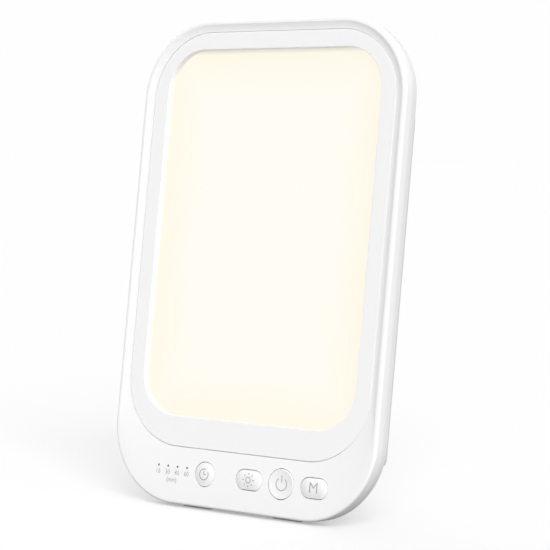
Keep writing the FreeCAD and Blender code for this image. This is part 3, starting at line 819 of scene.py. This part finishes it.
def join(whole: Mesh, part: Mesh) -> None:
    """Moves one bmesh into another and frees it.

    Args:
        whole: The bmesh that grows.
        part: The bmesh that is used up.
    """
    data = settled("part", part)
    whole.from_mesh(data)
    bpy.data.meshes.remove(data)


def add_text(whole: Mesh, words: str, size: float, across: float, up: float, weight: float = 0.012) -> None:
    """Adds flat lettering to a bmesh.

    Args:
        whole: The bmesh, in the upright frame.
        words: What it says.
        size: The font's size in millimetres.
        across: The middle's place across the panel.
        up: The middle's height.
        weight: How much the strokes are thickened, as a share of the size.
    """
    curve = bpy.data.curves.new("words", "FONT")
    curve.body = words
    curve.size = size
    curve.align_x = "CENTER"
    curve.align_y = "CENTER"
    curve.offset = size * weight
    curve.resolution_u = LETTER_STEPS
    item = show("words", curve)
    bpy.context.view_layer.update()
    data = bpy.data.meshes.new_from_object(item)
    data.transform(Matrix.Translation((across, 0, up)) @ FLAT)
    whole.from_mesh(data)
    bpy.data.meshes.remove(data)
    bpy.data.objects.remove(item)
    bpy.data.curves.remove(curve)


def slice_up(mesh: Mesh, step: float = 0.4) -> None:
    """Cuts a flat print into small squares, so that it can follow a curved face.

    Args:
        mesh: The print, in the upright frame.
        step: The squares' side in millimetres.
    """
    for axis in (0, 2):
        low = min(vert.co[axis] for vert in mesh.verts)
        high = max(vert.co[axis] for vert in mesh.verts)
        way = Vector((1, 0, 0)) if axis == 0 else Vector((0, 0, 1))
        for index in range(1, math.ceil((high - low) / step)):
            parts = [*mesh.verts, *mesh.edges, *mesh.faces]
            bmesh.ops.bisect_plane(mesh, geom=parts, plane_co=way * (low + index * step), plane_no=way)


def lay_on(mesh: Mesh, tree: BVHTree, proud: float = 0.025, start: float = -8.0) -> None:
    """Drops a flat print onto a surface from the front.

    Args:
        mesh: The print, in the upright frame.
        tree: The surface.
        proud: How far the print stands off it, in millimetres.
        start: A depth in front of everything, where the print drops from.
    """
    slice_up(mesh)
    for vert in mesh.verts:
        hit = tree.ray_cast(Vector((vert.co.x, start, vert.co.z)), Vector((0, 1, 0)))[0]
        if hit is not None:
            vert.co.y = hit.y - proud
    mesh.normal_update()
    turned = [face for face in mesh.faces if face.normal.y > 0]
    bmesh.ops.reverse_faces(mesh, faces=turned)


@dataclass
class Symbols:
    """The grey mark printed on one button, with its sizes in millimetres."""

    controls: Controls
    tree: BVHTree
    shape: ButtonShape
    line: float = 0.55
    least_steps: int = 8
    step_angle: float = 9.0
    clock: float = 2.5
    clock_start: float = 70.0
    clock_sweep: float = 320.0
    long_hand: float = 1.7
    long_hand_up: float = 0.75
    short_hand: float = 1.3
    short_hand_across: float = 0.55
    sun: float = 1.3
    rays: int = 8
    ray: float = 0.85
    ray_reach: float = 2.85
    switch: float = 2.9
    switch_start: float = 125.0
    switch_sweep: float = 290.0
    stroke: float = 3.1
    stroke_up: float = 2.4
    letter: float = 7.0

    def arc(self, mesh: Mesh, radius: float, start: float, sweep: float) -> None:
        """Adds a flat arc by spinning a short radial edge.

        Args:
            mesh: The print.
            radius: The arc's middle radius.
            start: Where it starts, in degrees from the right.
            sweep: How far it runs, in degrees.
        """
        turn = math.radians(start)
        way = Vector((math.cos(turn), 0, math.sin(turn)))
        middle = Vector((self.shape.centre, 0, self.controls.height))
        ends = [mesh.verts.new(middle + way * (radius + side * self.line / 2)) for side in (-1, 1)]
        edge = mesh.edges.new(ends)
        steps = max(self.least_steps, int(abs(sweep) / self.step_angle))
        bmesh.ops.spin(
            mesh, geom=[*ends, edge], cent=middle, axis=Vector((0, -1, 0)),
            angle=math.radians(sweep), steps=steps, use_merge=abs(sweep) >= 360,
        )

    def bar(self, mesh: Mesh, across: float, up: float, length: float, angle: float) -> None:
        """Adds a straight stroke.

        Args:
            mesh: The print.
            across: Its middle, from the button's centre.
            up: Its middle's height, from the button's centre.
            length: How long it is.
            angle: Its turn from upright, in degrees.
        """
        place = Matrix.Translation((self.shape.centre + across, 0, self.controls.height + up))
        turn = Matrix.Rotation(math.radians(angle), 4, "Y")
        shape = Matrix.Diagonal((self.line / 2, length / 2, 1, 1))
        bmesh.ops.create_grid(mesh, x_segments=1, y_segments=2, size=1, matrix=place @ turn @ FLAT @ shape)

    def timer(self, mesh: Mesh) -> None:
        """A clock face with its hands and an open arc.

        Args:
            mesh: The print.
        """
        self.arc(mesh, self.clock, self.clock_start, self.clock_sweep)
        self.bar(mesh, 0.0, self.long_hand_up, self.long_hand, 0)
        self.bar(mesh, self.short_hand_across, 0.0, self.short_hand, 90)

    def brightness(self, mesh: Mesh) -> None:
        """A small sun.

        Args:
            mesh: The print.
        """
        self.arc(mesh, self.sun, 0, 360)
        for index in range(self.rays):
            turn = math.tau * index / self.rays
            across, up = self.ray_reach * math.sin(turn), self.ray_reach * math.cos(turn)
            self.bar(mesh, across, up, self.ray, math.degrees(turn))

    def power(self, mesh: Mesh) -> None:
        """The usual ring and stroke."""
        self.arc(mesh, self.switch, self.switch_start, self.switch_sweep)
        self.bar(mesh, 0.0, self.stroke_up, self.stroke, 0)

    def mode(self, mesh: Mesh) -> None:
        """A plain letter M."""
        add_text(mesh, "M", self.letter, self.shape.centre, self.controls.height, 0.0)

    def build(self) -> None:
        """Prints the mark on its button."""
        mesh = bmesh.new()
        drawn: dict[Body, Callable[[Mesh], None]] = {
            Body.TIMER: self.timer,
            Body.BRIGHTNESS: self.brightness,
            Body.POWER: self.power,
            Body.MODE: self.mode,
        }
        drawn[self.shape.body](mesh)
        lay_on(mesh, self.tree)
        name = f"{self.shape.body.value}_symbol"
        piece = finish_piece(name, mesh, self.controls.finishes.ink, self.shape.body)


@dataclass
class Housing:
    """The front shell: rolled outer edge, raised rim, concave dish and control panel."""

    finishes: Finishes
    half: float = 75.0
    height: float = 229.5
    radius: float = 37.5
    depth: float = 5.2
    edge: float = 1.2
    edge_steps: int = 6
    rim: float = 2.1
    rim_break: float = 0.2
    dish_width: float = 3.7
    dish_depth: float = 1.0
    dish_steps: int = 14
    dish_curve: float = 1.7
    panel: float = 27.0
    panel_curve: float = 0.62
    bezel_gap: float = 0.14
    seat: float = 3.0
    ledge: float = 4.5
    window_half: float = 65.4
    window_low: float = 36.9
    window_high: float = 219.9
    window_radius: float = 24.3
    wall: float = 2.0
    points: int = 192
    crisp: float = 24.0

    def inset(self, amount: float, depth: float, low: float | None = None) -> Ring:
        """The outer outline drawn in.

        Args:
            amount: How far.
            depth: The loop's depth behind the front.
            low: The height of its bottom, where that isn't the amount.

        Returns:
            The loop.
        """
        bottom = amount if low is None else low
        return Ring(self.half - amount, bottom, self.height - amount, self.radius - amount, depth)

    def rings(self) -> list[Ring]:
        """The loops from the back edge, over the rim and down to the ledge.

        Returns:
            The loops in order.
        """
        loops = [self.inset(0.0, self.depth)]
        for across, down in quarter_round(self.edge_steps):
            loops.append(self.inset(self.edge * across, self.edge * down))
        loops.append(self.inset(self.rim - self.rim_break, 0.0))
        last = 1 - self.bezel_gap / self.dish_width
        for step in range(self.dish_steps + 1):
            part = last * step / self.dish_steps
            fall = 1 - (1 - part) ** self.dish_curve
            spread = fall ** self.panel_curve
            low = self.rim + (self.panel - self.rim) * spread - self.bezel_gap * part
            loops.append(self.inset(self.rim + self.dish_width * part, self.dish_depth * fall, low))
        end = loops[-1]
        loops.append(Ring(end.half, end.low, end.high, end.radius, self.seat))
        opening = (self.window_half, self.window_low, self.window_high, self.window_radius)
        loops.append(Ring(*opening, self.seat))
        loops.append(Ring(*opening, self.ledge))
        loops.append(self.inset(self.wall, self.ledge))
        loops.append(self.inset(self.wall, self.depth))
        return loops

    def build(self, controls: Controls) -> BVHTree:
        """Makes the shell and opens it for the buttons.

        Args:
            controls: The buttons whose gaps are cut.

        Returns:
            The shell's surface in the upright frame, before the cuts.
        """
        shell = Rings(self.points)
        for ring in self.rings():
            shell.add(ring)
        shell.close()
        outward(shell.mesh)
        tree = BVHTree.FromBMesh(shell.mesh)
        cut = boolean_cut(shell.mesh, controls.cutter())
        piece = finish_piece("case_front", cut, self.finishes.case, Body.LAMP, self.crisp)
        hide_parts("front_housing")
        return tree


def boolean_cut(solid: Mesh, tool: Mesh) -> Mesh:
    """Cuts one closed bmesh with another.

    Args:
        solid: What is cut.
        tool: What is taken away.

    Returns:
        A new bmesh of the result.
    """
    items = [show(name, settled(name, mesh)) for name, mesh in (("solid", solid), ("tool", tool))]
    cut = items[0].modifiers.new("cut", "BOOLEAN")
    cut.operation = "DIFFERENCE"
    cut.solver = "EXACT"
    cut.object = items[1]
    bpy.context.view_layer.update()
    graph = bpy.context.evaluated_depsgraph_get()
    data = bpy.data.meshes.new_from_object(items[0].evaluated_get(graph))
    result = bmesh.new()
    result.from_mesh(data)
    bpy.data.meshes.remove(data)
    for item in items:
        mesh = item.data
        bpy.data.objects.remove(item)
        bpy.data.meshes.remove(mesh)
    return result


@dataclass
class WindowFrame:
    """The flat frame round the window, whose inner wall runs down to the lit panel."""

    finishes: Finishes
    half: float = 69.2
    low: float = 27.0
    high: float = 223.7
    radius: float = 31.7
    face: float = 1.0
    back: float = 2.98
    outer_round: float = 0.2
    flat_from: int = 3
    side: float = 8.1
    bottom: float = 14.2
    window_radius: float = 20.0
    lip_back: float = 4.18
    lip: float = 1.2
    inner_round: float = 0.15
    round_steps: int = 4
    points: int = 192
    crisp: float = 24.0
    panel_grow: float = 3.9
    panel_front: float = 4.2
    panel_back: float = 4.48
    panel_points: int = 96

    def window(self, grow: float, depth: float) -> Ring:
        """The window's outline.

        Args:
            grow: How far it is grown.
            depth: Its depth behind the housing's front.

        Returns:
            The loop.
        """
        low = self.low + self.bottom - grow
        high = self.high - self.side + grow
        return Ring(self.half - self.side + grow, low, high, self.window_radius + grow, depth)

    def outer(self, inset: float, depth: float) -> Ring:
        """The frame's outline.

        Args:
            inset: How far it is drawn in.
            depth: Its depth behind the housing's front.

        Returns:
            The loop.
        """
        return Ring(self.half - inset, self.low + inset, self.high - inset, self.radius - inset, depth)

    def rings(self) -> list[Ring]:
        """The loops from the back edge, over the face and down the inner wall.

        Returns:
            The loops in order.
        """
        curve = quarter_round(self.round_steps)
        flat = self.flat_from * self.outer_round
        loops = [self.outer(0.0, self.back)]
        for across, down in curve:
            loops.append(self.outer(self.outer_round * across, self.face + self.outer_round * down))
        loops.append(self.outer(flat, self.face))
        loops.append(self.window(flat, self.face))
        for across, down in curve:
            loops.append(self.window(self.inner_round * down, self.face + self.inner_round * across))
        loops.append(self.window(0.0, self.lip_back))
        loops.append(self.window(self.lip, self.lip_back))
        loops.append(self.window(self.lip, self.back))
        return loops

    def build(self) -> None:
        """Makes the frame and the panel behind it."""
        border = Rings(self.points)
        for ring in self.rings():
            border.add(ring)
        border.close()
        outward(border.mesh)
        piece = finish_piece("window_frame", border.mesh, self.finishes.bezel, Body.LAMP, self.crisp)
        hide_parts("bezel_frame")
        self.build_panel()

    def build_panel(self) -> None:
        """Makes the lit panel behind the window."""
        depths = (self.panel_front, self.panel_back)
        panel = prism(self.panel_points, [self.window(self.panel_grow, depth) for depth in depths])
        outward(panel)
        piece = finish_piece("lit_panel", panel, self.finishes.window, Body.LAMP)
        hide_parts("diffuser_panel")


@dataclass
class Carried:
    """CAD nodes that keep their shape and get their finish."""

    finishes: Finishes

    def build(self) -> None:
        """Assigns a material to each carried node."""
        look = self.finishes
        dressed = {
            look.clear: ("light_guide",),
            look.film: ("reflector_sheet",),
            look.aluminium: ("chassis_plate",),
            look.white_board: ("led_strip_left", "led_strip_right"),
            look.board: ("control_board", "driver_board"),
            look.black: (
                "tact_switches", "friction_washers", "driver_spacers", "driver_components",
                "power_inlet", "timer_switch_plunger", "brightness_switch_plunger",
                "power_switch_plunger", "mode_switch_plunger",
            ),
            look.steel: ("chassis_screws", "board_screws", "case_screws", "hinge_pin"),
            look.cover: ("back_cover", "kickstand_leg"),
            look.rubber: ("foot_pads", "leg_boot"),
            look.ribbon: ("control_ribbon", "led_leads"),
        }
        for material, names in dressed.items():
            for name in names:
                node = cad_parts[name]
                node.data.materials.clear()
                node.data.materials.append(material)
                LOG.info("%s: %s", name, material.name)


@dataclass
class Studio:
    """The pale floor, the even surround, a broad soft key and a weaker lamp behind."""

    surround: float = 0.54
    backdrop: Colour = (0.99, 0.99, 0.99)
    key_strength: float = 2.88
    key_azimuth: float = 46.8
    key_height: float = 36.1
    key_spread: float = 38.0
    rear_strength: float = 1.0
    rear_azimuth: float = 236.0
    rear_height: float = 30.0
    rear_spread: float = 60.0
    # painted contact shade on the floor: how far its ambient occlusion reaches, its samples and its
    # strength
    contact_shade_reach: float = 0.03
    contact_shade_samples: int = 8
    contact_shade: float = 0.36
    floor_size: float = 6.0
    floor_seen: float = 0.87
    floor_bounce: float = 0.4
    floor_white: float = 0.6

    def build_world(self) -> None:
        """An even surround that looks white to the camera."""
        world = bpy.data.worlds.new("surround")
        bpy.context.scene.world = world
        world.use_nodes = True
        nodes = Nodes(world.node_tree)
        seen = nodes.node("ShaderNodeLightPath", {}, {}).outputs["Is Camera Ray"]
        light = nodes.node("ShaderNodeBackground", {}, {"Strength": self.surround})
        white = nodes.node("ShaderNodeBackground", {}, {"Color": (*self.backdrop, 1)})
        mix = nodes.node("ShaderNodeMixShader", {}, {0: seen, 1: light.outputs[0], 2: white.outputs[0]})
        nodes.node("ShaderNodeOutputWorld", {}, {"Surface": mix.outputs[0]})

    def build_floor(self) -> None:
        """A wide pale floor that still takes the lamp's soft shadow, plus painted contact shade close to
        the lamp.
        """
        mesh = bmesh.new()
        bmesh.ops.create_grid(mesh, x_segments=1, y_segments=1, size=self.floor_size)
        floor = show("floor", settled("floor", mesh))
        shader = Shader("pale floor")
        seen = shader.node("ShaderNodeLightPath", {}, {}).outputs["Is Camera Ray"]
        dim = (self.floor_bounce,) * 3
        pale = (self.floor_seen,) * 3
        shader.set(Base_Color=shader.blend(seen, dim, pale), Roughness=1.0, Specular_IOR_Level=0.0)
        white = shader.node("ShaderNodeEmission", {}, {"Color": (1, 1, 1, 1), "Strength": 1.0})
        # painted contact shade: near the lamp, ambient occlusion takes away part of the floor's white lift,
        # so the floor darkens there
        open_sky = shader.node("ShaderNodeAmbientOcclusion", {"samples": self.contact_shade_samples}, {
            "Distance": self.contact_shade_reach,
        }).outputs["AO"]
        unshaded = 1.0 - self.contact_shade + self.contact_shade * Value(shader, open_sky)
        mix = shader.node("ShaderNodeMixShader", {}, {
            0: Value(shader, seen) * self.floor_white * unshaded,
            1: shader.base.outputs[0],
            2: white.outputs[0],
        })
        feed(shader.tree, shader.output.inputs["Surface"], mix.outputs[0])
        floor.data.materials.append(shader.material)

    def build_sun(self, name: str, strength: float, azimuth: float, height: float, spread: float) -> None:
        """A distant lamp aimed at the object.

        Args:
            name: The lamp's name.
            strength: Watts to the square metre.
            azimuth: Degrees round from the front, positive to the right.
            height: Degrees above the horizon.
            spread: How wide it looks, in degrees.
        """
        light = bpy.data.lights.new(name, "SUN")
        light.energy = strength
        light.angle = math.radians(spread)
        show(name, light).rotation_euler = facing(away(azimuth, height))

    def build(self) -> None:
        """Makes the whole studio."""
        self.build_world()
        self.build_floor()
        self.build_sun("key", self.key_strength, self.key_azimuth, self.key_height, self.key_spread)
        self.build_sun("rear", self.rear_strength, self.rear_azimuth, self.rear_height, self.rear_spread)
        bpy.context.scene.view_settings.view_transform = "Standard"


@dataclass
class PhotoCamera:
    """The photograph's own viewpoint, in degrees and millimetres from the front bottom edge."""

    azimuth: float = 36.175
    elevation: float = 4.356
    distance: float = 931.5
    target: tuple[float, float, float] = (23.59, 0.0, 110.39)
    focal_pixels: float = 2073.9
    image_pixels: float = 550.0
    sensor: float = 36.0
    nearest: float = 0.01

    def build(self) -> None:
        """Makes the camera and gives it to the scene."""
        data = bpy.data.cameras.new("photo camera")
        data.sensor_width = self.sensor
        data.lens = self.focal_pixels / self.image_pixels * self.sensor
        data.clip_start = self.nearest
        camera = show("photo camera", data)
        back = away(self.azimuth, self.elevation)
        edge = Vector((0, STANCE.front_edge(), STANCE.lift * MM))
        camera.location = edge + (Vector(self.target) + back * self.distance) * MM
        camera.rotation_euler = facing(back)
        bpy.context.scene.camera = camera


def main() -> None:
    """Builds the pieces in order."""
    logging.basicConfig(level=logging.INFO)
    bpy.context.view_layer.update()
    finishes = Finishes()
    Carried(finishes).build()
    controls = Controls(finishes)
    panel = Housing(finishes).build(controls)
    WindowFrame(finishes).build()
    controls.build(panel)
    Studio().build()
    PhotoCamera().build()


if __name__ == "__main__":
    main()
